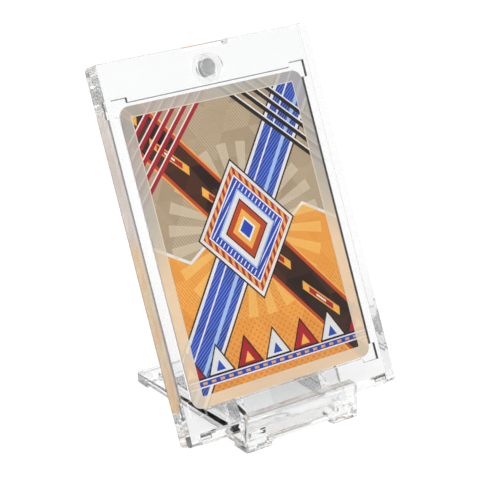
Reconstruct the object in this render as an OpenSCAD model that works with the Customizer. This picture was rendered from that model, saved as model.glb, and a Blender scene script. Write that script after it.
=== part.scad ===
// Trading card display case on its stand.
// A hinged two-part clear case holds one card, closed at the top by a pair of
// small magnets, and leans back in a clear moulded stand.
// +X right, -Y front, +Z up; origin on the table under the middle of the object.

/* [Card] */
// Width of the card
card_w = 63.5; // [58:0.1:64]
// Height of the card
card_h = 88.9; // [80:0.1:90]
// Thickness of the card
card_t = 0.5; // [0.3:0.05:0.95]
// Radius of the card's corners
card_r = 3.2; // [0.5:0.1:6]
// How far the card lies to the right of the middle of its recess
card_x = 0.1; // [0:0.05:0.4]

/* [Case] */
// Width of the case
case_w = 73.2; // [72:0.1:76]
// Height of the case
case_h = 111.8; // [110:0.1:118]
// Thickness of the closed case
case_t = 7.3; // [7.2:0.05:7.6]
// Height of the parting face above the back of the case
parting = 4; // [3.9:0.05:4.1]
// Radius of the case's outer corners
case_r = 1.2; // [0.4:0.1:3]
// Middle of the card above the bottom edge of the case
card_mid = 54; // [53.6:0.1:56]
// Clear width of the card recess
recess_w = 64.4; // [64.4:0.05:66]
// Clear height of the card recess
recess_h = 90.6; // [90.2:0.1:92]
// Depth of the card recess below the parting face
recess_d = 1.1; // [1:0.05:1.4]
// How far the upper and lower walls of the recess lean inwards, for draft
wall_draft = 0.2; // [0:0.05:0.3]
// Size of the square relief at each corner of the recess
relief = 5.2; // [3:0.1:6]
// How far a relief reaches past the recess walls
relief_out = 1.4; // [0.5:0.1:2]
// Width of the thumb notch in the top edge of the cover
notch_w = 15.5; // [10:0.5:24]
// Depth of the thumb notch
notch_d = 1.7; // [0.8:0.1:2.6]

/* [Hinge] */
// Height of the hinge axis above the bottom edge of the case
hinge_y = 1.65; // [1.6:0.05:1.8]
// Radius of the hinge barrel on the back shell
barrel_r = 1.4; // [1.2:0.05:1.45]
// Radius of the rounded ear on the cover
ear_r = 1.55; // [1.3:0.05:1.6]
// Width of one ear
ear_w = 3.2; // [2:0.1:4]
// Diameter of a hinge peg
peg_d = 1.6; // [1.2:0.1:1.8]
// Length of a hinge peg
peg_l = 3.6; // [2:0.1:6]

/* [Magnets] */
// Diameter of a magnet
magnet_d = 5; // [4:0.1:6]
// Thickness of the back shell's magnet
shell_magnet_t = 3; // [1.5:0.1:3]
// Thickness of the cover's magnet
cover_magnet_t = 0.6; // [0.5:0.1:1.2]
// Height of the magnets above the middle of the card
magnet_up = 50.5; // [50.4:0.1:52]
// Diameter of the plug that closes a magnet pocket
plug_d = 8.6; // [7:0.1:8.8]
// Thickness of a plug's disc
plug_t = 0.6; // [0.5:0.05:0.8]

/* [Stand] */
// Lean of the case away from upright, in degrees
recline = 23; // [20:0.5:25]
// Width of the stand
stand_w = 40.4; // [34:0.2:50]
// Depth of the base plate, front to back
base_d = 61.2; // [56:0.2:70]
// Height of the top of the base plate
base_t = 3; // [2.8:0.1:3.4]
// Height of the gap under the base plate between its feet
under_gap = 1.3; // [0.8:0.1:1.5]
// Height of the front lip above the table
lip_h = 11.4; // [9:0.1:12]
// Thickness of the front lip
lip_t = 2.7; // [2:0.05:2.75]
// Thickness of the back rest
rest_t = 2.2; // [1.6:0.1:2.4]
// Length of the back rest along the case
rest_l = 60; // [50:1:66]
// Thickness of a stiffening rib
rib_t = 2.2; // [1.6:0.1:3]
// Middle of a rib from the middle of the stand
rib_x = 14.7; // [10:0.1:16]
// Width of one of the two cradle blocks under the case
cradle_w = 5; // [3:0.5:8]
// Thickness of the base plate's skin over its hollow underside
skin_t = 1; // [0.8:0.1:1.4]
// Diameter of a foot pad
pad_d = 3.3; // [2.6:0.1:3.8]
// How far a foot pad stands proud of its foot
pad_out = 0.15; // [0.1:0.05:0.4]

/* [Hidden] */
$fn = 96;
fit = 0.03;                        // running gap between faces that close on each other
// the bottom back edge of the case, in Y, and the base plate's middle
foot_y = -21.3;
base_y0 = -base_d / 2;
base_y1 = base_d / 2;
hinge_z = parting + (case_t - parting) / 2;
flange_w = case_w - 2 * ear_w - 0.2;  // barrel between the two ears
flange_top = hinge_y + barrel_r;
cover_y0 = flange_top + 0.08;
recess_y0 = card_mid - 45.0;
magnet_y = card_mid + magnet_up;
cover_pocket = case_t - parting - fit - 0.3;  // leaves 0.3 mm of plastic under the magnet
lip_y1 = base_y0 + lip_t;
ca = cos(recline);
sa = sin(recline);
// a point of the leaning case, up the case by l and forward of its back face by h, in Y and Z
function lean(l, h) = [foot_y + l * sa - h * ca, base_t + 0.02 + l * ca + h * sa];

// plate outline with rounded corners, centred in X, from y0 up
module plate2d(w, y0, y1, r0, r1) {
  h = y1 - y0;
  translate([-w / 2 + r0, y0]) square([w - 2 * r0, h / 2]);
  translate([-w / 2 + r1, y0 + h / 2]) square([w - 2 * r1, h / 2]);
  translate([-w / 2, y0 + r0]) square([w, h - r0 - r1]);
  for (s = [-1, 1]) {
    if (r0 > 0) translate([s * (w / 2 - r0), y0 + r0]) circle(r0);
    if (r1 > 0) translate([s * (w / 2 - r1), y1 - r1]) circle(r1);
  }
}

// raises the stand and the case on the foot pads, which stand proud of the feet
module on_pads() {
  translate([0, 0, pad_out]) children();
}

// puts a shape drawn flat, back face on z = 0 and bottom edge on y = 0, into its leaning place
module in_case() {
  on_pads() translate([0, foot_y, base_t + 0.02]) rotate([90 - recline, 0, 0]) children();
}

// extrudes an outline drawn in (Y, Z) along X
module along_x(len, x = 0) {
  translate([x - len / 2, 0, 0]) rotate([90, 0, 90]) linear_extrude(len) children();
}

// magnet pocket with its wider seat for the plug, open on z = 0 and cut towards +z
module magnet_pocket(depth) {
  translate([0, magnet_y, -0.5]) cylinder(d = plug_d + 0.06, h = 0.5 + plug_t + 0.02 + fit);
  translate([0, magnet_y, 0]) cylinder(d = magnet_d + 0.06, h = depth);
}

// ---- stand: base plate, front lip, back rest and two ribs in one clear moulding
module foot_places(inset) {
  for (x = [-1, 1], y = [base_y0 + inset, base_y1 - inset])
    translate([x * (stand_w / 2 - inset), y, 0]) children();
}

// rear outline of a rib: low along the base, then steep up the back rest
rib_tail = base_y1 - 6.5;
rib_top = lean(56, -rest_t * 0.7);
rib_k = 2.2;
rib_curve = [for (i = [0:24]) let (s = i / 24)
  [rib_top[0] + 0.6 + (rib_tail - rib_top[0] - 0.6) * pow(1 - s, rib_k),
   base_t + 1.1 + (rib_top[1] - base_t - 1.1) * pow(s, rib_k)]];

module rib2d() {
  polygon(concat([[rib_tail, base_t - 0.8]], rib_curve,
    [rib_top, lean(1.5, -rest_t * 0.7), [foot_y + 6, base_t - 0.8]]));
}

// cradle block: a wedge between the lip and the sloping bottom face of the case
module cradle2d() {
  polygon([lean(-0.03, 0.3), lean(-0.03, (lip_y1 - 0.3 - foot_y) / -ca),
    [lip_y1 - 0.3, base_t - 0.5], [foot_y - 0.3, base_t - 0.5]]);
}

module stand_solid() {
  difference() {
    union() {
      // base plate
      translate([0, 0, under_gap]) linear_extrude(base_t - under_gap)
        plate2d(stand_w, base_y0, base_y1, 1, 1.6);
      // four corner feet under it
      linear_extrude(under_gap + 0.01) intersection() {
        plate2d(stand_w, base_y0, base_y1, 1, 1.6);
        for (x = [-1, 1], y = [-1, 1])
          translate([x * (stand_w / 2 - 4.75), y * (base_d / 2 - 3.5)])
            plate2d(9.5, -3.5, 3.5, 1, 1);
      }
      // front lip, its upper corners rounded
      translate([0, lip_y1, 0]) rotate([90, 0, 0]) linear_extrude(lip_t)
        plate2d(stand_w, under_gap, lip_h, 0, 2);
      for (s = [-1, 1]) {
        along_x(rib_t, s * rib_x) rib2d();
        along_x(cradle_w, s * 15) cradle2d();
      }
      // back rest
      translate([0, foot_y, base_t + 0.02]) rotate([90 - recline, 0, 0])
        translate([0, 0, -rest_t - 0.05]) linear_extrude(rest_t)
          plate2d(stand_w - 0.4, -0.8, rest_l, 0, 4);
    }
    // arch under the lip, between the two front feet
    translate([0, base_y0 + 2.2, 0]) rotate([90, 0, 0]) linear_extrude(3)
      plate2d(21.4, -2, 1.95, 0, 0.9);
    // hollow underside of the base plate
    translate([0, 0, -1]) linear_extrude(base_t - skin_t + 1)
      plate2d(33.4, base_y0 + 8.2, base_y1 - 6.3, 1.5, 1.5);
    // pockets for the foot pads
    foot_places(2.7) translate([0, 0, -0.5]) cylinder(d = pad_d + 0.06, h = 0.5 + 0.5);
    // rounds the upright front corners
    for (s = [-1, 1]) translate([s * (stand_w / 2 - 1), base_y0 + 1, -1]) difference() {
      translate([s > 0 ? 0 : -2, -2, 0]) cube([2, 2, lip_h + 2]);
      translate([0, 0, -1]) cylinder(r = 1, h = lip_h + 4);
    }
  }
}

module stand() {
  color([0.93, 0.95, 0.96, 0.35]) on_pads() stand_solid();
}

// ---- foot pads: four clear soft discs pressed into the corner feet
module foot_pads() {
  color([0.86, 0.88, 0.88, 0.6]) on_pads()
    foot_places(2.7) translate([0, 0, -pad_out]) cylinder(d = pad_d, h = pad_out + 0.49);
}

// section of the card recess, from y0 to y1 at the parting face and a little shorter at its floor
module drafted2d(y0, y1) {
  polygon([[y0 + wall_draft, parting - recess_d], [y1 - wall_draft, parting - recess_d],
    [y1, parting], [y1, parting + 1], [y0, parting + 1], [y0, parting]]);
}

// ---- back shell: card recess, magnet pocket and the hinge barrel along its bottom
module back_shell() {
  color([0.95, 0.96, 0.97, 0.3])
  in_case() difference() {
    union() {
      linear_extrude(parting) plate2d(case_w, 0, case_h, case_r, case_r);
      // hinge barrel and the ledge that the case stands on
      along_x(flange_w) {
        translate([0, parting - 0.01]) square([flange_top, hinge_z - parting + 0.01]);
        translate([0, parting - 0.01]) square([hinge_y, hinge_z + barrel_r - 0.3 - parting]);
        translate([0.3, parting - 0.01]) square([hinge_y - 0.3, hinge_z + barrel_r - parting + 0.01]);
        translate([hinge_y, hinge_z]) circle(barrel_r);
        translate([0.3, hinge_z + barrel_r - 0.3]) circle(0.3);
      }
    }
    // card recess
    along_x(recess_w) drafted2d(recess_y0, recess_y0 + recess_h);
    // square reliefs that keep the card's corners free
    for (s = [-1, 1], y = [recess_y0 - relief_out, recess_y0 + recess_h + relief_out - relief])
      along_x(relief, s * (recess_w / 2 + relief_out - relief / 2)) drafted2d(y, y + relief);
    // magnet pocket, open on the back face
    magnet_pocket(plug_t + 2 * fit + 0.02 + shell_magnet_t + fit);
    // blind bores for the cover's hinge pegs
    for (s = [-1, 1])
      translate([s * (flange_w / 2 + 0.5), hinge_y, hinge_z]) rotate([0, -90 * s, 0])
        cylinder(d = peg_d + 0.08, h = peg_l + 0.8);
  }
}

module shell_magnet() {
  color([0.7, 0.7, 0.71])
    in_case() translate([0, magnet_y, 0.02 + plug_t + 2 * fit])
      cylinder(d = magnet_d, h = shell_magnet_t);
}

module shell_magnet_plug() {
  color([0.95, 0.96, 0.97, 0.4])
    in_case() translate([0, magnet_y, 0.02]) cylinder(d = plug_d, h = plug_t);
}

// ---- card
module card() {
  color([0.9, 0.66, 0.34])
    in_case() translate([card_x, 0, parting - recess_d + 0.02]) linear_extrude(card_t)
      plate2d(card_w, card_mid - card_h / 2, card_mid + card_h / 2, card_r, card_r);
}

// ---- front cover: clear window, magnet pocket, thumb notch, two ears with hinge pegs
module front_cover() {
  color([0.95, 0.96, 0.97, 0.3])
  in_case() difference() {
    union() {
      translate([0, 0, parting + fit]) linear_extrude(case_t - parting - fit)
        plate2d(case_w, cover_y0, case_h, 0.3, case_r);
      for (s = [-1, 1]) {
        // ear, round about the hinge axis
        along_x(ear_w, s * (case_w / 2 - ear_w / 2)) {
          translate([hinge_y, hinge_z]) circle(ear_r);
          translate([hinge_y, hinge_z - ear_r]) square([cover_y0 + 0.4 - hinge_y, 2 * ear_r]);
        }
        // peg, pointing inwards
        translate([s * (case_w / 2 - ear_w + 0.2), hinge_y, hinge_z]) rotate([0, -90 * s, 0])
          cylinder(d = peg_d, h = peg_l + 0.2);
      }
    }
    // magnet pocket, open on the front face
    translate([0, 0, case_t]) mirror([0, 0, 1]) magnet_pocket(cover_pocket);
    // thumb notch
    translate([-notch_w / 2, case_h - notch_d, parting - 1])
      cube([notch_w, notch_d + 1, case_t]);
  }
}

module cover_magnet() {
  color([0.7, 0.7, 0.71])
    in_case() translate([0, magnet_y, case_t - cover_pocket + 0.02])
      cylinder(d = magnet_d, h = cover_magnet_t);
}

// stepped plug: a disc flush with the front face and a stem that holds the magnet down
module cover_magnet_plug() {
  color([0.95, 0.96, 0.97, 0.4])
    in_case() translate([0, magnet_y, case_t - 0.02]) mirror([0, 0, 1]) {
      cylinder(d = plug_d, h = plug_t);
      cylinder(d = magnet_d, h = cover_pocket - 0.02 - cover_magnet_t - 0.02 - fit);
    }
}

stand();
foot_pads();
back_shell();
shell_magnet();
shell_magnet_plug();
card();
front_cover();
cover_magnet();
cover_magnet_plug();
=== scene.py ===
# Looks of the trading card display case: clear case, card and clear stand, on a
# plain white floor. Metres, +Z up, the same frame as the CAD.
import math
import bpy
from mathutils import Matrix, Vector

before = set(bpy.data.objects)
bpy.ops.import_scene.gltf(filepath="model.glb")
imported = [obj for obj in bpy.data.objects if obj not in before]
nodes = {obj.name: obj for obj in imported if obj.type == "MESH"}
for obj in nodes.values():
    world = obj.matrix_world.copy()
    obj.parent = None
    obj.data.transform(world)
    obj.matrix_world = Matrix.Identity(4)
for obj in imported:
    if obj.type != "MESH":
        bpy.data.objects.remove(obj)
bpy.context.view_layer.update()

# the leaning case: local x to the right, y up the case, z forward of its back face
LEAN = math.radians(23)
SA, CA = math.sin(LEAN), math.cos(LEAN)
CASE_O = Vector((0, -0.0213, 0.00317))
UP_CASE = Vector((0, SA, CA))
OUT_CASE = Vector((0, -CA, SA))
CARD_MID = 54.0
CARD_X = 0.1
PARTING = 4.0
CASE_HALF_W = 36.6
MAGNET_Y = 104.5
MAGNET_R = 0.0025


# ---------------------------------------------------------------- node helpers
class Mat:
    """A material and short ways to add nodes to it."""

    def __init__(self, name):
        self.m = bpy.data.materials.new(name)
        self.m.use_nodes = True
        self.t = self.m.node_tree
        self.t.nodes.clear()
        self.out = self.t.nodes.new("ShaderNodeOutputMaterial")
        self.p = self.t.nodes.new("ShaderNodeBsdfPrincipled")
        self.t.links.new(self.p.outputs[0], self.out.inputs["Surface"])
        self.tc = self.t.nodes.new("ShaderNodeTexCoord")

    def new(self, kind, **props):
        n = self.t.nodes.new(kind)
        for k, v in props.items():
            setattr(n, k, v)
        return n

    def put(self, socket, value):
        if isinstance(value, bpy.types.NodeSocket):
            self.t.links.new(value, socket)
        elif isinstance(value, (tuple, list, Vector)):
            v = tuple(value)
            if socket.type == "RGBA" and len(v) == 3:
                v = v + (1.0,)
            socket.default_value = v
        else:
            socket.default_value = value

    def math(self, op, a, b=None, c=None, clamp=False):
        n = self.new("ShaderNodeMath", operation=op, use_clamp=clamp)
        self.put(n.inputs[0], a)
        if b is not None:
            self.put(n.inputs[1], b)
        if c is not None:
            self.put(n.inputs[2], c)
        return n.outputs[0]

    def add(self, a, b): return self.math("ADD", a, b)
    def sub(self, a, b): return self.math("SUBTRACT", a, b)
    def mul(self, a, b): return self.math("MULTIPLY", a, b)
    def lt(self, a, b): return self.math("LESS_THAN", a, b)
    def gt(self, a, b): return self.math("GREATER_THAN", a, b)
    def abs(self, a): return self.math("ABSOLUTE", a)
    def min(self, a, b): return self.math("MINIMUM", a, b)
    def max(self, a, b): return self.math("MAXIMUM", a, b)
    def mod(self, a, b): return self.math("FLOORED_MODULO", a, b)
    def between(self, d, lo, hi): return self.mul(self.gt(d, lo), self.lt(d, hi))
    def floor(self, a): return self.math("FLOOR", a)

    def both(self, *masks):
        r = masks[0]
        for x in masks[1:]:
            r = self.mul(r, x)
        return r

    def either(self, *masks):
        r = masks[0]
        for x in masks[1:]:
            r = self.max(r, x)
        return r

    def dot(self, vec, k):
        n = self.new("ShaderNodeVectorMath", operation="DOT_PRODUCT")
        self.put(n.inputs[0], vec)
        n.inputs[1].default_value = tuple(k)
        return n.outputs["Value"]

    def xyz(self, x, y, z=0.0):
        n = self.new("ShaderNodeCombineXYZ")
        for i, v in enumerate((x, y, z)):
            self.put(n.inputs[i], v)
        return n.outputs[0]

    def mix(self, f, a, b, blend="MIX"):
        n = self.new("ShaderNodeMix", data_type="RGBA", blend_type=blend)
        self.put(n.inputs[0], f)
        self.put(n.inputs[6], a)
        self.put(n.inputs[7], b)
        return n.outputs[2]

    def mixf(self, f, a, b):
        n = self.new("ShaderNodeMix", data_type="FLOAT")
        self.put(n.inputs[0], f)
        self.put(n.inputs[2], a)
        self.put(n.inputs[3], b)
        return n.outputs[0]

    def ramp(self, v, lo, hi, a=0.0, b=1.0):
        n = self.new("ShaderNodeMapRange")
        self.put(n.inputs[0], v)
        for i, x in enumerate((lo, hi, a, b)):
            self.put(n.inputs[i + 1], x)
        return n.outputs[0]

    def noise(self, vec, scale, detail=3.0, rough=0.5, distort=0.0, dims="3D"):
        n = self.new("ShaderNodeTexNoise", noise_dimensions=dims)
        self.put(n.inputs["Vector"], vec)
        n.inputs["Scale"].default_value = scale
        n.inputs["Detail"].default_value = detail
        n.inputs["Roughness"].default_value = rough
        n.inputs["Distortion"].default_value = distort
        return n.outputs[0]

    def voronoi(self, vec, scale, feature="F1", metric="EUCLIDEAN", out="Distance", rand=1.0):
        n = self.new("ShaderNodeTexVoronoi", feature=feature)
        if feature not in ("DISTANCE_TO_EDGE", "N_SPHERE_RADIUS"):
            n.distance = metric
        self.put(n.inputs["Vector"], vec)
        n.inputs["Scale"].default_value = scale
        n.inputs["Randomness"].default_value = rand
        return n.outputs[out]

    def bump(self, height, strength, distance, normal=None):
        n = self.new("ShaderNodeBump")
        n.inputs["Strength"].default_value = strength
        n.inputs["Distance"].default_value = distance
        self.put(n.inputs["Height"], height)
        if normal is not None:
            self.put(n.inputs["Normal"], normal)
        return n.outputs[0]

    def set(self, **kw):
        names = dict(color="Base Color", rough="Roughness", metal="Metallic", ior="IOR", trans="Transmission Weight",
                     normal="Normal", coat="Coat Weight", coat_rough="Coat Roughness", spec="Specular IOR Level", alpha="Alpha",
                     sss="Subsurface Weight", coat_ior="Coat IOR", aniso="Anisotropic")
        for k, v in kw.items():
            self.put(self.p.inputs[names[k]], v)
        return self


def srgb(r, g, b):
    """0-255 display colour to linear."""
    f = lambda c: c / 12.92 if c <= 0.04045 else ((c + 0.055) / 1.055) ** 2.4
    return tuple(f(x / 255) for x in (r, g, b))


# ---------------------------------------------------------------- clear plastics
def clear_plastic(name, ior, tint, rough_lo, rough_hi, ripple, ripple_scale, line=None):
    """line(k) gives a mask and a colour for the thin faces that look darker than the rest: painted shade, and on the
    back shell's top edge a painted reflection of the card's orange.
    """
    k = Mat(name)
    obj = k.tc.outputs["Object"]
    flow = k.noise(obj, ripple_scale, 2.0, 0.45, 0.6)          # slow moulding ripple
    fine = k.noise(obj, 2600, 3.0, 0.6)                       # polish marks
    smear = k.ramp(k.noise(obj, 46, 4.0, 0.55), 0.42, 0.70)   # handling haze
    rough = k.add(k.ramp(smear, 0, 1, rough_lo, rough_hi), k.mul(fine, 0.004))
    col = k.mix(k.ramp(k.noise(obj, 30, 2.0), 0.3, 0.7), tint, tuple(min(1.0, c * 1.006) for c in tint))
    if line:
        mask, shade = line(k)
        # lays the painted shade and painted reflection from line() over the plastic's tint
        col = k.mix(mask, col, shade)
    h = k.add(flow, k.mul(fine, 0.02))
    k.set(color=col, rough=rough, ior=ior, trans=1.0, normal=k.bump(h, ripple, 0.0002))
    return k.m


def case_axes(k):
    """Case-local place in mm, and how much the surface faces to the side, up the case and outwards."""
    obj, nor = k.tc.outputs["Object"], k.tc.outputs["Normal"]
    x = k.dot(obj, (1000, 0, 0))
    y = k.add(k.dot(obj, tuple(UP_CASE * 1000)), -1000 * CASE_O.dot(UP_CASE))
    z = k.add(k.dot(obj, tuple(OUT_CASE * 1000)), -1000 * CASE_O.dot(OUT_CASE))
    return x, y, z, k.dot(nor, (1, 0, 0)), k.dot(nor, tuple(UP_CASE)), k.dot(nor, tuple(OUT_CASE))


def cover_painted_shade(k):
    """Painted shade: the walls and rim of the thumb notch in a pale warm grey, and the hinge's pegs and ears in dark
    grey.
    """
    x, y, z, nx, ny, nz = case_axes(k)
    notch = k.both(k.lt(k.abs(x), 8.1), k.gt(y, 109.85), k.lt(k.abs(nz), 0.96))
    peg = k.both(k.gt(k.abs(x), 28.0), k.lt(y, 3.3), k.lt(k.abs(nz), 0.90), k.lt(k.abs(ny), 0.90))
    streak = k.noise(k.tc.outputs["Object"], 700, 3.0, 0.6)
    # painted shade: pale warm grey for the notch, dark grey for the pegs and ears
    painted_warm_line = k.mix(k.ramp(streak, 0.35, 0.65), srgb(196, 190, 184), srgb(238, 232, 226))
    painted_grey_line = k.mix(k.ramp(streak, 0.35, 0.65), srgb(70, 70, 72), srgb(150, 150, 150))
    return k.either(notch, peg), k.mix(notch, painted_grey_line, painted_warm_line)


def shell_painted_lines(k):
    """Painted shade in grey on the bores for the pegs, with the ends of the barrel, and a painted reflection of the
    card's orange on the top edge bared by the thumb notch, turning grey towards its ends.
    """
    x, y, z, nx, ny, nz = case_axes(k)
    bore = k.both(k.gt(k.abs(x), 28.0), k.lt(y, 3.3), k.gt(z, 4.1), k.lt(k.abs(nz), 0.90), k.lt(k.abs(ny), 0.90))
    streak = k.noise(k.tc.outputs["Object"], 700, 3.0, 0.6)
    # painted shade: grey on the bores and the barrel's ends
    painted_grey_line = k.mix(k.ramp(streak, 0.35, 0.65), srgb(120, 120, 122), srgb(180, 180, 180))
    top = k.both(k.gt(y, 111.5), k.gt(z, 3.72), k.lt(k.abs(x), 7.7))
    # painted reflection: orange on the top edge near the middle, grey further along it
    painted_warm_line = k.mix(k.ramp(k.abs(k.add(x, 1.2)), 3.0, 5.5), srgb(214, 150, 96), srgb(150, 148, 146))
    return k.either(bore, top), k.mix(top, painted_grey_line, painted_warm_line)


MAT_CASE = clear_plastic("clear_case_plastic", 1.49, (0.984, 0.986, 0.987), 0.0, 0.012, 0.03, 60, shell_painted_lines)
MAT_COVER = clear_plastic("clear_cover_plastic", 1.49, (0.984, 0.986, 0.987), 0.0, 0.012, 0.03, 60, cover_painted_shade)
MAT_PLUG = clear_plastic("clear_plug_plastic", 1.49, (0.984, 0.986, 0.987), 0.0, 0.01, 0.02, 300)


def stand_painted_shade(k):
    """Painted shade on the clear stand: a dark run low on the base plate's sides, a grey top face on the lip, the ribs'
    sides dark in grainy patches, and dark runs along the outer edges.
    """
    obj, nor = k.tc.outputs["Object"], k.tc.outputs["Normal"]
    x, z = k.abs(k.dot(obj, (1000, 0, 0))), k.dot(obj, (0, 0, 1000))
    nx = k.abs(k.dot(nor, (1, 0, 0)))
    grain = k.noise(obj, 1700, 3.0, 0.7)
    side = k.both(k.gt(x, 20.0), k.lt(z, 2.15), k.gt(nx, 0.6))
    top = k.gt(z, 11.35)
    top = k.mul(top, k.lt(k.dot(obj, (0, 1000, 0)), -27.7))
    y = k.dot(obj, (0, 1000, 0))
    back = k.gt(y, -28.1)
    rib = k.both(k.gt(x, 13.4), k.lt(x, 16.0), k.gt(nx, 0.8), k.gt(z, 3.3))
    rib = k.mul(rib, k.ramp(grain, 0.40, 0.62))
    # painted shade: a dark run 0.3 mm wide on both sides of the outer edges
    rim_x = k.gt(x, 19.9)
    rim_y = k.either(k.lt(y, -30.3), k.gt(y, 30.3), k.both(k.between(y, -28.2, -27.6), k.gt(z, 3.4)))
    rim_z = k.either(k.gt(z, 11.25), k.lt(z, 0.45), k.both(back, k.between(z, 2.85, 3.3)), k.both(back, k.between(z, 1.3, 1.75)))
    rim = k.either(k.both(rim_x, rim_y), k.both(rim_x, rim_z), k.both(rim_y, rim_z))
    rim = k.mul(rim, k.ramp(grain, 0.25, 0.50, 0.55, 1.0))
    # painted shade: the greys of the dark runs, the lip's top and the ribs
    dark_run = k.mix(k.ramp(grain, 0.3, 0.7), srgb(134, 134, 136), srgb(170, 170, 171))
    shade = k.mix(k.either(side, rim), k.mix(top, srgb(108, 108, 110), srgb(176, 174, 172)), dark_run)
    return k.either(side, top, rib, rim), shade


# the stand's grey tint is partly the plastic's own and partly painted shade, standing in for the shadowed floor seen
# through the base plate
MAT_STAND = clear_plastic("clear_stand_plastic", 1.55, (0.932, 0.936, 0.936), 0.0, 0.015, 0.12, 140, stand_painted_shade)
MAT_PAD = clear_plastic("soft_clear_pad", 1.41, (0.93, 0.94, 0.94), 0.18, 0.30, 0.1, 500)


# ---------------------------------------------------------------- walls of the card recess, painted dark as shade
def painted_shade_wall(name, glance, deep, light):
    """Matte plastic painted dark grey as shade where it is met from the air, clear where it is seen at a glancing angle
    from inside the plastic (glance = how far from face-on it turns clear there)."""
    k = Mat(name)
    obj = k.tc.outputs["Object"]
    streak = k.noise(obj, 900, 4.0, 0.6)
    grit = k.noise(obj, 7000, 2.0, 0.6)
    inside = k.new("ShaderNodeNewGeometry").outputs["Backfacing"]
    facing = k.new("ShaderNodeLayerWeight")
    facing.inputs["Blend"].default_value = 0.5
    clear = k.mul(inside, k.gt(facing.outputs["Facing"], glance))
    # painted shade: dark grey streaks from deep to light where the wall is met from the air
    ground = k.mix(k.ramp(streak, 0.35, 0.65), deep, light)
    k.set(color=k.mix(clear, ground, (0.965, 0.968, 0.97)), rough=k.mixf(clear, k.ramp(grit, 0.3, 0.7, 0.45, 0.62), 0.0),
          ior=1.49, trans=clear)
    return k.m


# painted shade: near-black on the side walls, mid grey on the end walls
MAT_WALL = painted_shade_wall("painted_shade_recess_wall", 0.58, (0.05, 0.05, 0.052), (0.13, 0.13, 0.135))
MAT_WALL_END = painted_shade_wall("painted_shade_recess_end", -1.0, (0.24, 0.24, 0.245), (0.36, 0.36, 0.365))


# ---------------------------------------------------------------- plated magnet
def magnet(name):
    k = Mat(name)
    obj = k.tc.outputs["Object"]
    grain = k.noise(obj, 5200, 3.0, 0.6)
    blot = k.noise(obj, 500, 3.0, 0.5)
    col = k.mix(k.ramp(blot, 0.3, 0.7), srgb(140, 140, 141), srgb(156, 156, 157))
    # painted light: the magnet glows in its own grey at strength 0.75, though it is no lamp
    k.put(k.p.inputs["Emission Color"], col)
    k.p.inputs["Emission Strength"].default_value = 0.75
    k.set(color=col, metal=0.1, rough=k.ramp(grain, 0.3, 0.7, 0.42, 0.58), normal=k.bump(grain, 0.25, 0.00003))
    return k.m


MAT_MAGNET = magnet("nickel_plated_magnet")


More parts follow.
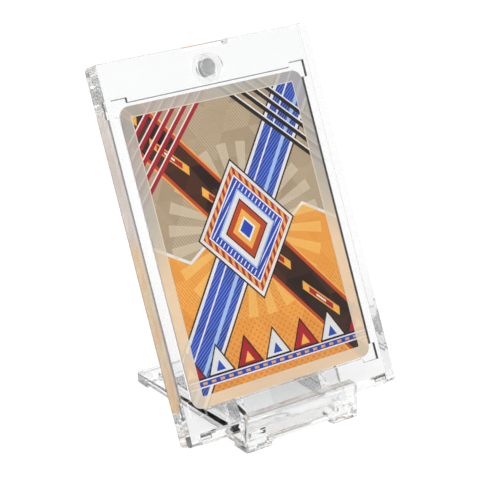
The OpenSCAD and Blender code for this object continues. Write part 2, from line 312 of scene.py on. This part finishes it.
# ---------------------------------------------------------------- printed card
def card_material():
    k = Mat("printed_card")
    obj = k.tc.outputs["Object"]
    u = k.add(k.dot(obj, (1000, 0, 0)), -CARD_X)
    off = -1000 * CASE_O.dot(UP_CASE) - CARD_MID
    v = k.add(k.dot(obj, tuple(UP_CASE * 1000)), off)
    face = k.dot(k.tc.outputs["Normal"], tuple(OUT_CASE))
    uv = k.xyz(u, v)

    tan_a, tan_b = srgb(206, 186, 156), srgb(168, 146, 114)
    org_a, org_b = srgb(246, 176, 82), srgb(228, 146, 56)
    brown, dark, blue, pale = srgb(84, 52, 38), srgb(34, 24, 22), srgb(34, 74, 190), srgb(176, 206, 240)
    white, red, crimson, gold = srgb(250, 250, 248), srgb(196, 72, 40), srgb(178, 30, 46), srgb(246, 182, 78)

    def over(base, colour, mask):
        return k.mix(mask, base, colour)

    # ground: facets of tan above and orange below a zigzag
    zig = k.sub(v, k.sub(k.mul(k.abs(k.sub(k.mod(k.add(u, 7), 28), 14)), 0.62), 3.5))
    low = k.lt(zig, 0)
    d1 = k.floor(k.mul(k.add(k.mul(u, 0.866), k.mul(v, 0.5)), 1 / 7.8))
    d2 = k.floor(k.mul(k.sub(k.mul(u, 0.866), k.mul(v, 0.5)), 1 / 7.8))
    d3 = k.floor(k.mul(v, 1 / 7.8))
    wn = k.new("ShaderNodeTexWhiteNoise", noise_dimensions="3D")
    k.put(wn.inputs["Vector"], k.xyz(d1, d2, d3))
    tone = wn.outputs["Value"]
    fleck = k.noise(k.xyz(k.mul(u, 0.25), k.mul(v, 3.2)), 1.4, 4.0, 0.6)
    shade = k.add(k.mul(tone, 0.7), k.mul(fleck, 0.5))
    ground = k.mix(low, k.mix(shade, tan_b, tan_a), k.mix(shade, org_b, org_a))
    # fine hatching on every third facet
    hatch = k.both(k.lt(k.mod(k.add(u, k.mul(v, 0.55)), 0.9), 0.28), k.gt(tone, 0.66))
    ground = k.mix(k.mul(hatch, 0.45), ground, k.mix(low, srgb(132, 112, 84), srgb(200, 110, 40)))
    # screen of dots over the orange, growing downwards
    cell = 2.1
    dx = k.sub(k.mod(k.add(u, v), cell), cell / 2)
    dy = k.sub(k.mod(k.sub(u, v), cell), cell / 2)
    rr = k.math("SQRT", k.add(k.mul(dx, dx), k.mul(dy, dy)))
    dots = k.both(k.lt(rr, k.ramp(v, -42, -4, 0.78, 0.12)), low)
    ground = k.mix(k.mul(dots, 0.5), ground, srgb(214, 104, 38))
    c = over(ground, white, k.between(zig, -0.55, 0.55))

    # rays behind the medallion
    cu, cv = u, k.sub(v, 2)
    ang = k.math("ARCTAN2", cv, cu)
    dist = k.math("SQRT", k.add(k.mul(cu, cu), k.mul(cv, cv)))
    ray = k.both(k.lt(k.mod(ang, math.pi / 12), math.pi / 24), k.lt(dist, 26))
    c = k.mix(k.mul(ray, 0.55), c, k.mix(low, srgb(236, 222, 196), srgb(252, 208, 120)))

    # ribbons that cross in the middle
    a1 = k.add(k.mul(u, 0.80), k.mul(cv, -0.60))
    a2 = k.add(k.mul(u, 0.80), k.mul(cv, 0.60))
    along = k.add(k.mul(u, 0.60), k.mul(cv, 0.80))
    along2 = k.sub(k.mul(u, 0.60), k.mul(cv, 0.80))
    c = over(c, dark, k.between(a1, -6.9, 6.1))
    c = over(c, white, k.between(a1, -6.4, 5.6))
    stripe = k.lt(k.mod(along2, 0.8), 0.22)
    c = over(c, k.mix(k.mul(stripe, 0.4), k.mix(tone, srgb(24, 56, 158), blue), pale), k.between(a1, -5.4, 4.6))
    c = over(c, white, k.between(a1, -2.9, -2.4))
    c = over(c, pale, k.between(a1, 1.2, 2.4))
    c = over(c, gold, k.between(a2, -6.4, 6.4))
    c = over(c, red, k.between(a2, -5.9, 5.9))
    c = over(c, k.mix(tone, dark, brown), k.between(a2, -4.9, 4.9))
    # small diamonds set along the brown ribbon
    ds = k.add(k.abs(k.sub(k.mod(along, 6.0), 3.0)), k.mul(k.abs(a2), 1.2))
    c = over(c, gold, k.lt(ds, 2.3))
    c = over(c, crimson, k.lt(ds, 1.5))
    c = over(c, white, k.lt(ds, 0.6))
    # medallion of nested diamonds
    dm = k.add(k.abs(cu), k.mul(k.abs(cv), 0.80))
    for r, col in ((17.0, dark), (16.4, white), (15.2, crimson), (13.2, white), (12.6, blue), (9.8, pale), (9.2, white),
                   (7.4, dark), (6.9, red), (4.9, gold), (3.1, white), (2.3, blue)):
        c = over(c, col, k.lt(dm, r))
    seg = k.both(k.lt(k.mod(k.add(cu, 40), 1.7), 0.85), k.between(dm, 13.4, 15.0))
    c = over(c, gold, seg)
    seg2 = k.both(k.lt(k.mod(k.add(k.sub(cu, cv), 60), 2.0), 0.5), k.between(dm, 10.2, 12.2))
    c = over(c, white, seg2)
    # pennants in the lower part
    t = k.mod(k.add(u, 35), 10.0)
    i = k.mod(k.floor(k.mul(k.add(u, 35), 0.1)), 2.0)
    edge = k.add(k.abs(k.sub(t, 5)), k.mul(k.add(v, 36.0), 0.52))
    c = over(c, dark, k.both(k.gt(v, -36.6), k.lt(edge, 4.5)))
    c = over(c, k.mix(i, crimson, white), k.both(k.gt(v, -36.0), k.lt(edge, 4.0)))
    c = over(c, k.mix(i, gold, blue), k.both(k.gt(v, -35.4), k.lt(edge, 1.9)))
    c = over(c, white, k.between(v, -38.9, -36.6))
    c = over(c, blue, k.between(v, -38.5, -37.0))
    c = over(c, gold, k.both(k.between(v, -38.1, -37.4), k.lt(k.mod(u, 3.0), 1.5)))
    # stripes across the two upper corners
    s1 = k.add(u, v)
    fan = k.between(s1, 45, 62)
    c = over(c, dark, k.both(fan, k.lt(k.mod(s1, 4.2), 2.1)))
    c = over(c, white, k.both(fan, k.between(k.mod(s1, 4.2), 1.7, 2.3)))
    s2 = k.sub(v, u)
    fan2 = k.between(s2, 45, 66)
    c = over(c, crimson, k.both(fan2, k.lt(k.mod(s2, 4.2), 2.1)))
    c = over(c, white, k.both(fan2, k.between(k.mod(s2, 4.2), 1.7, 2.3)))
    # border: the same print, lightened, with a thin light line inside it
    inner = k.both(k.lt(k.abs(u), 28.05), k.lt(k.abs(v), 41.1))
    line = k.both(k.lt(k.abs(u), 28.35), k.lt(k.abs(v), 41.4))
    edge_tint = k.mix(k.ramp(v, -8, 12), srgb(255, 236, 204), srgb(206, 200, 190))
    framed = k.mix(inner, k.mix(line, k.mix(0.80, c, edge_tint), srgb(236, 226, 206)), c)

    # back of the card and its cut edge
    stock = k.mix(k.noise(uv, 3.0, 4.0), srgb(232, 230, 224), srgb(244, 243, 238))
    split = k.ramp(k.add(v, k.mul(fleck, 3.0)), 5.0, 9.0)
    frame_col = k.mix(split, k.mix(shade, srgb(255, 204, 142), srgb(255, 228, 188)), k.mix(shade, srgb(222, 208, 196), srgb(244, 234, 226)))
    panel = k.both(k.lt(k.abs(u), 23.0), k.lt(k.abs(v), 36.0))
    lattice = k.add(k.abs(k.sub(k.mod(u, 5.0), 2.5)), k.abs(k.sub(k.mod(v, 5.0), 2.5)))
    body = k.mix(k.lt(lattice, 1.6), srgb(238, 230, 212), srgb(214, 196, 164))
    body = k.mix(k.between(lattice, 1.6, 1.9), body, srgb(120, 84, 60))
    rim = k.both(k.lt(k.abs(u), 23.8), k.lt(k.abs(v), 36.8))
    db = k.add(k.abs(u), k.mul(k.abs(v), 0.8))
    for r, col in ((15.0, brown), (14.2, srgb(238, 230, 212)), (11.6, blue), (8.4, white), (6.4, red), (3.2, gold)):
        body = over(body, col, k.lt(db, r))
    back = k.mix(rim, frame_col, k.mix(panel, brown, body))
    col = k.mix(k.gt(face, 0.5), k.mix(k.lt(face, -0.5), stock, back), framed)
    fibre = k.noise(uv, 9.0, 4.0, 0.65)
    screen = k.noise(uv, 30.0, 2.0, 0.6)
    col = k.mix(k.mul(screen, 0.05), col, srgb(120, 110, 100))
    k.set(color=col, rough=k.ramp(fibre, 0.3, 0.7, 0.38, 0.48), normal=k.bump(fibre, 0.12, 0.00004),
          coat=0.3, coat_rough=0.22)
    return k.m


MAT_CARD = card_material()


# ---------------------------------------------------------------- give the CAD nodes their finish
def local_mm(p):
    """A point of the row as (x, y up the case, z forward of its back face), in mm."""
    d = (Vector(p) - CASE_O) * 1000
    return d.x, d.dot(UP_CASE), d.dot(OUT_CASE)


class Geo:
    """A geometry-nodes modifier and short ways to fill its group."""

    def __init__(self, obj, name):
        self.g = bpy.data.node_groups.new(name, "GeometryNodeTree")
        self.g.interface.new_socket("Geometry", in_out="INPUT", socket_type="NodeSocketGeometry")
        self.g.interface.new_socket("Geometry", in_out="OUTPUT", socket_type="NodeSocketGeometry")
        self.geo = self.g.nodes.new("NodeGroupInput").outputs[0]
        self.mod = obj.modifiers.new(name, "NODES")
        self.mod.node_group = self.g

    def link(self, a, b):
        self.g.links.new(a, b)

    def put(self, socket, v):
        if isinstance(v, bpy.types.NodeSocket):
            self.link(v, socket)
        else:
            socket.default_value = v

    def math(self, op, a, b=0.0):
        n = self.g.nodes.new("ShaderNodeMath")
        n.operation = op
        self.put(n.inputs[0], a)
        self.put(n.inputs[1], b)
        return n.outputs[0]

    def axis(self, k, off):
        """Position along direction k, in mm, less off."""
        pos = self.g.nodes.new("GeometryNodeInputPosition")
        n = self.g.nodes.new("ShaderNodeVectorMath")
        n.operation = "DOT_PRODUCT"
        self.link(pos.outputs[0], n.inputs[0])
        n.inputs[1].default_value = tuple(Vector(k) * 1000)
        return self.math("SUBTRACT", n.outputs["Value"], off)

    def near(self, v, at, tol):
        return self.math("LESS_THAN", self.math("ABSOLUTE", self.math("SUBTRACT", v, at)), tol)

    def shift(self, mask, offset):
        n = self.g.nodes.new("GeometryNodeSetPosition")
        self.link(self.geo, n.inputs["Geometry"])
        self.put(n.inputs["Selection"], mask)
        n.inputs["Offset"].default_value = tuple(offset)
        self.geo = n.outputs[0]

    def grow(self, mask, amount):
        """Moves masked points away from the magnets' axis by amount, in metres."""
        pos = self.g.nodes.new("GeometryNodeInputPosition")
        d = self.g.nodes.new("ShaderNodeVectorMath")
        d.operation = "SUBTRACT"
        self.link(pos.outputs[0], d.inputs[0])
        d.inputs[1].default_value = tuple(CASE_O + UP_CASE * (MAGNET_Y / 1000))
        dot = self.g.nodes.new("ShaderNodeVectorMath")
        dot.operation = "DOT_PRODUCT"
        self.link(d.outputs[0], dot.inputs[0])
        dot.inputs[1].default_value = tuple(OUT_CASE)
        along = self.g.nodes.new("ShaderNodeVectorMath")
        along.operation = "SCALE"
        along.inputs[0].default_value = tuple(OUT_CASE)
        self.link(dot.outputs["Value"], along.inputs["Scale"])
        flat = self.g.nodes.new("ShaderNodeVectorMath")
        flat.operation = "SUBTRACT"
        self.link(d.outputs[0], flat.inputs[0])
        self.link(along.outputs[0], flat.inputs[1])
        unit = self.g.nodes.new("ShaderNodeVectorMath")
        unit.operation = "NORMALIZE"
        self.link(flat.outputs[0], unit.inputs[0])
        off = self.g.nodes.new("ShaderNodeVectorMath")
        off.operation = "SCALE"
        self.link(unit.outputs[0], off.inputs[0])
        off.inputs["Scale"].default_value = amount
        radius = self.g.nodes.new("ShaderNodeVectorMath")
        radius.operation = "LENGTH"
        self.link(flat.outputs[0], radius.inputs[0])
        mask = self.math("MULTIPLY", mask, self.math("LESS_THAN", radius.outputs["Value"], MAGNET_R + 0.00006))
        n = self.g.nodes.new("GeometryNodeSetPosition")
        self.link(self.geo, n.inputs["Geometry"])
        self.put(n.inputs["Selection"], mask)
        self.link(off.outputs[0], n.inputs["Offset"])
        self.geo = n.outputs[0]

    def weight(self, value):
        n = self.g.nodes.new("GeometryNodeStoreNamedAttribute")
        n.data_type = "FLOAT"
        n.domain = "EDGE"
        self.link(self.geo, n.inputs["Geometry"])
        n.inputs["Name"].default_value = "bevel_weight_edge"
        sock = [x for x in n.inputs if x.name == "Value" and x.enabled][0]
        self.put(sock, value)
        self.geo = n.outputs[0]

    def crisp(self, degrees):
        """Shading from the shape itself: smooth, with a break at edges sharper than this."""
        n = self.g.nodes.new("GeometryNodeRemoveAttribute")
        self.link(self.geo, n.inputs["Geometry"])
        n.inputs["Name"].default_value = "custom_normal"
        s = self.g.nodes.new("GeometryNodeSetShadeSmooth")
        s.domain = "FACE"
        self.link(n.outputs[0], s.inputs["Geometry"])
        s.inputs["Shade Smooth"].default_value = True
        a = self.g.nodes.new("GeometryNodeInputMeshEdgeAngle")
        e = self.g.nodes.new("GeometryNodeSetShadeSmooth")
        e.domain = "EDGE"
        self.link(s.outputs[0], e.inputs["Geometry"])
        self.link(self.math("LESS_THAN", a.outputs["Unsigned Angle"], math.radians(degrees)), e.inputs["Shade Smooth"])
        self.geo = e.outputs[0]

    def sharp(self, degrees):
        """Outward edges sharper than this."""
        n = self.g.nodes.new("GeometryNodeInputMeshEdgeAngle")
        return self.math("GREATER_THAN", n.outputs["Signed Angle"], math.radians(degrees))

    def end(self):
        out = self.g.nodes.new("NodeGroupOutput")
        self.link(self.geo, out.inputs[0])


OFF_Y = CASE_O.dot(UP_CASE) * 1000
OFF_Z = CASE_O.dot(OUT_CASE) * 1000


def finish_node(name, material, bevel=0.0, segments=2, press=None, stem=None, wide=None, zone=None):
    """Material, welded seams and eased edges. press = (plane, shift) brings the face on that
    case-local plane against its neighbour, in mm, and leaves its outer edge square. stem = how
    far the magnet or the plug's stem is pressed into its pocket's wall, in metres. wide = the
    eased width away from the thumb notch, as a share of bevel. zone(g) = the part of the node
    whose edges are eased."""
    o = nodes[name]
    o.data.materials.clear()
    o.data.materials.append(material)
    if not bevel and not press and not stem:
        return o
    w = o.modifiers.new("join", "WELD")
    w.merge_threshold = 2e-6
    if bevel:
        flat = o.modifiers.new("flat", "DECIMATE")
        flat.decimate_type = "DISSOLVE"
        flat.angle_limit = math.radians(0.05)
        flat.delimit = {"MATERIAL"}
    g = Geo(o, name + "_edges")
    z = g.axis(OUT_CASE, OFF_Z)
    keep = g.sharp(35)
    if press:
        plane, shift = press
        g.shift(g.near(z, plane, 0.008), OUT_CASE * (shift / 1000))
        x = g.math("ABSOLUTE", g.axis((1, 0, 0), 0.0))
        y = g.axis(UP_CASE, OFF_Y)
        rim = g.math("MAXIMUM", g.math("GREATER_THAN", x, CASE_HALF_W - 1.3), g.math("GREATER_THAN", y, 110.4))
        flat = g.math("MULTIPLY", g.near(z, plane + shift, 0.01), rim)
        keep = g.math("MULTIPLY", keep, g.math("SUBTRACT", 1.0, flat))
    if wide:
        x = g.math("ABSOLUTE", g.axis((1, 0, 0), 0.0))
        y = g.axis(UP_CASE, OFF_Y)
        notch = g.math("MULTIPLY", g.math("LESS_THAN", x, 8.2), g.math("GREATER_THAN", y, 109.9))
        keep = g.math("MULTIPLY", keep, g.math("ADD", wide, g.math("MULTIPLY", notch, 1.0 - wide)))
    if zone:
        keep = g.math("MULTIPLY", keep, zone(g))
    if stem:
        g.grow(1.0, stem)
    g.crisp(28)
    g.weight(keep)
    g.end()
    if bevel:
        b = o.modifiers.new("edges", "BEVEL")
        b.width = bevel
        b.segments = segments
        b.limit_method = "WEIGHT"
        b.harden_normals = True
        b.use_clamp_overlap = False
        b.miter_outer = "MITER_ARC"
    return o


def lip_and_rim(g):
    """The lip and the outer rim of the base plate."""
    x = g.math("ABSOLUTE", g.axis((1, 0, 0), 0.0))
    y = g.axis((0, 1, 0), 0.0)
    z = g.axis((0, 0, 1), 0.0)
    rim = g.math("MAXIMUM", g.math("GREATER_THAN", x, 20.12), g.math("GREATER_THAN", y, 30.5))
    rim = g.math("MAXIMUM", rim, g.math("MULTIPLY", g.math("LESS_THAN", y, -27.8), g.math("GREATER_THAN", z, 3.4)))
    return rim


def off_pocket(g):
    """All but the magnet pocket and its seat."""
    x = g.math("ABSOLUTE", g.axis((1, 0, 0), 0.0))
    y = g.math("ABSOLUTE", g.axis(UP_CASE, OFF_Y + MAGNET_Y))
    return g.math("MAXIMUM", g.math("GREATER_THAN", x, 4.8), g.math("GREATER_THAN", y, 4.8))


def above_hinge(g):
    return g.math("MULTIPLY", off_pocket(g), g.math("GREATER_THAN", g.axis(UP_CASE, OFF_Y), 4.2))


finish_node("stand", MAT_STAND, 0.00020, zone=lip_and_rim)
finish_node("foot_pads", MAT_PAD)
finish_node("back_shell", MAT_CASE, 0.00012, press=(PARTING, 0.02), zone=off_pocket)
finish_node("front_cover", MAT_COVER, 0.00025, press=(PARTING + 0.03, -0.02), wide=0.5, zone=above_hinge)
finish_node("shell_magnet", MAT_MAGNET, 0.0, stem=0.00005)
finish_node("cover_magnet", MAT_MAGNET, 0.0, stem=0.00005)
finish_node("shell_magnet_plug", MAT_PLUG, 0.00004)
finish_node("cover_magnet_plug", MAT_PLUG, 0.0, press=(6.68, -0.04), stem=0.00005)
finish_node("card", MAT_CARD, 0.0, press=(2.92, -0.03))

# the upright walls of the card recess get the dark materials of painted shade
shell = nodes["back_shell"].data
shell.materials.append(MAT_WALL)
shell.materials.append(MAT_WALL_END)
for poly in shell.polygons:
    x, y, z = local_mm(poly.center)
    if abs(poly.normal.dot(OUT_CASE)) < 0.3 and 2.8 < z < 4.02 and abs(x) < 34.2 and 7.0 < y < 101.5:
        if abs(poly.normal.x) > 0.5:
            poly.material_index = 1
        elif y > 54:
            poly.material_index = 2


# ---------------------------------------------------------------- floor, light, camera
def floor_material():
    k = Mat("white_floor")
    n = k.noise(k.tc.outputs["Object"], 3.0, 2.0)
    k.set(color=k.mix(n, (0.15, 0.15, 0.15), (0.17, 0.17, 0.17)), rough=0.9, spec=0.0)
    k.p.inputs["Emission Color"].default_value = (1, 1, 1, 1)
    k.p.inputs["Emission Strength"].default_value = 0.93
    return k.m


me = bpy.data.meshes.new("floor")
me.from_pydata([(-4, -4, -2e-5), (4, -4, -2e-5), (4, 4, -2e-5), (-4, 4, -2e-5)], [], [(0, 1, 2, 3)])
floor = bpy.data.objects.new("floor", me)
me.materials.append(floor_material())
bpy.context.scene.collection.objects.link(floor)

world = bpy.data.worlds.new("studio")
bpy.context.scene.world = world
world.use_nodes = True
wt = world.node_tree
wt.nodes.clear()
wout = wt.nodes.new("ShaderNodeOutputWorld")
bg = wt.nodes.new("ShaderNodeBackground")
wt.links.new(bg.outputs[0], wout.inputs[0])
tc = wt.nodes.new("ShaderNodeTexCoord")
sep = wt.nodes.new("ShaderNodeSeparateXYZ")
wt.links.new(tc.outputs["Generated"], sep.inputs[0])


def wmath(op, a, b=None, c=None):
    n = wt.nodes.new("ShaderNodeMath")
    n.operation = op
    for i, x in enumerate((a, b, c)):
        if x is None:
            continue
        if isinstance(x, bpy.types.NodeSocket):
            wt.links.new(x, n.inputs[i])
        else:
            n.inputs[i].default_value = x
    return n.outputs[0]


def wramp(v, lo, hi, a, b):
    n = wt.nodes.new("ShaderNodeMapRange")
    n.interpolation_type = "SMOOTHSTEP"
    wt.links.new(v, n.inputs[0])
    for i, x in enumerate((lo, hi, a, b)):
        n.inputs[i + 1].default_value = x
    return n.outputs[0]


# white sweep and ceiling, with a dark band at mid height round the front and the sides
height = sep.outputs["Z"]
front = wramp(sep.outputs["Y"], -0.05, 0.40, 1.0, 0.0)
band = wmath("MULTIPLY", wramp(height, 0.09, 0.17, 0.0, 1.0), wramp(height, 0.60, 0.78, 1.0, 0.0))
dark = wmath("MULTIPLY", front, band)
level = wmath("MULTIPLY_ADD", dark, -1.06, 1.09)
wt.links.new(level, bg.inputs["Strength"])
bg.inputs["Color"].default_value = (1, 1, 1, 1)


def area(name, loc, target, size, power):
    d = bpy.data.lights.new(name, "AREA")
    d.shape = "DISK"
    d.size = size
    d.energy = power
    o = bpy.data.objects.new(name, d)
    bpy.context.scene.collection.objects.link(o)
    o.location = loc
    o.rotation_euler = (Vector(target) - Vector(loc)).to_track_quat("-Z", "Y").to_euler()
    return o


area("soft_key", (-0.45, -0.75, 1.05), (0, 0, 0.05), 0.8, 21.0)

cam_data = bpy.data.cameras.new("camera")
cam_data.sensor_width = 36.0
cam_data.lens = 137.8339
cam_data.clip_start = 0.01
cam_data.clip_end = 20.0
cam = bpy.data.objects.new("camera", cam_data)
bpy.context.scene.collection.objects.link(cam)
C = Vector((-0.28083166, -0.42139999, 0.24827696))
right = Vector((0.82573967, -0.56336251, -0.0278689))
up = Vector((0.22532924, 0.28417179, 0.93191905))
fwd = Vector((0.5170887, 0.77580222, -0.36159397))
cam.matrix_world = Matrix(((right.x, up.x, -fwd.x, C.x), (right.y, up.y, -fwd.y, C.y), (right.z, up.z, -fwd.z, C.z), (0, 0, 0, 1)))
bpy.context.scene.camera = cam

sc = bpy.context.scene
sc.view_settings.view_transform = "Standard"
sc.view_settings.look = "None"
sc.cycles.use_denoising = True
sc.cycles.max_bounces = 96
sc.cycles.transmission_bounces = 48
sc.cycles.glossy_bounces = 80
sc.cycles.diffuse_bounces = 4
sc.cycles.transparent_max_bounces = 16
sc.cycles.caustics_reflective = True
sc.cycles.caustics_refractive = True
sc.cycles.blur_glossy = 0.3
sc.cycles.sample_clamp_indirect = 6.0

bpy.context.view_layer.update()
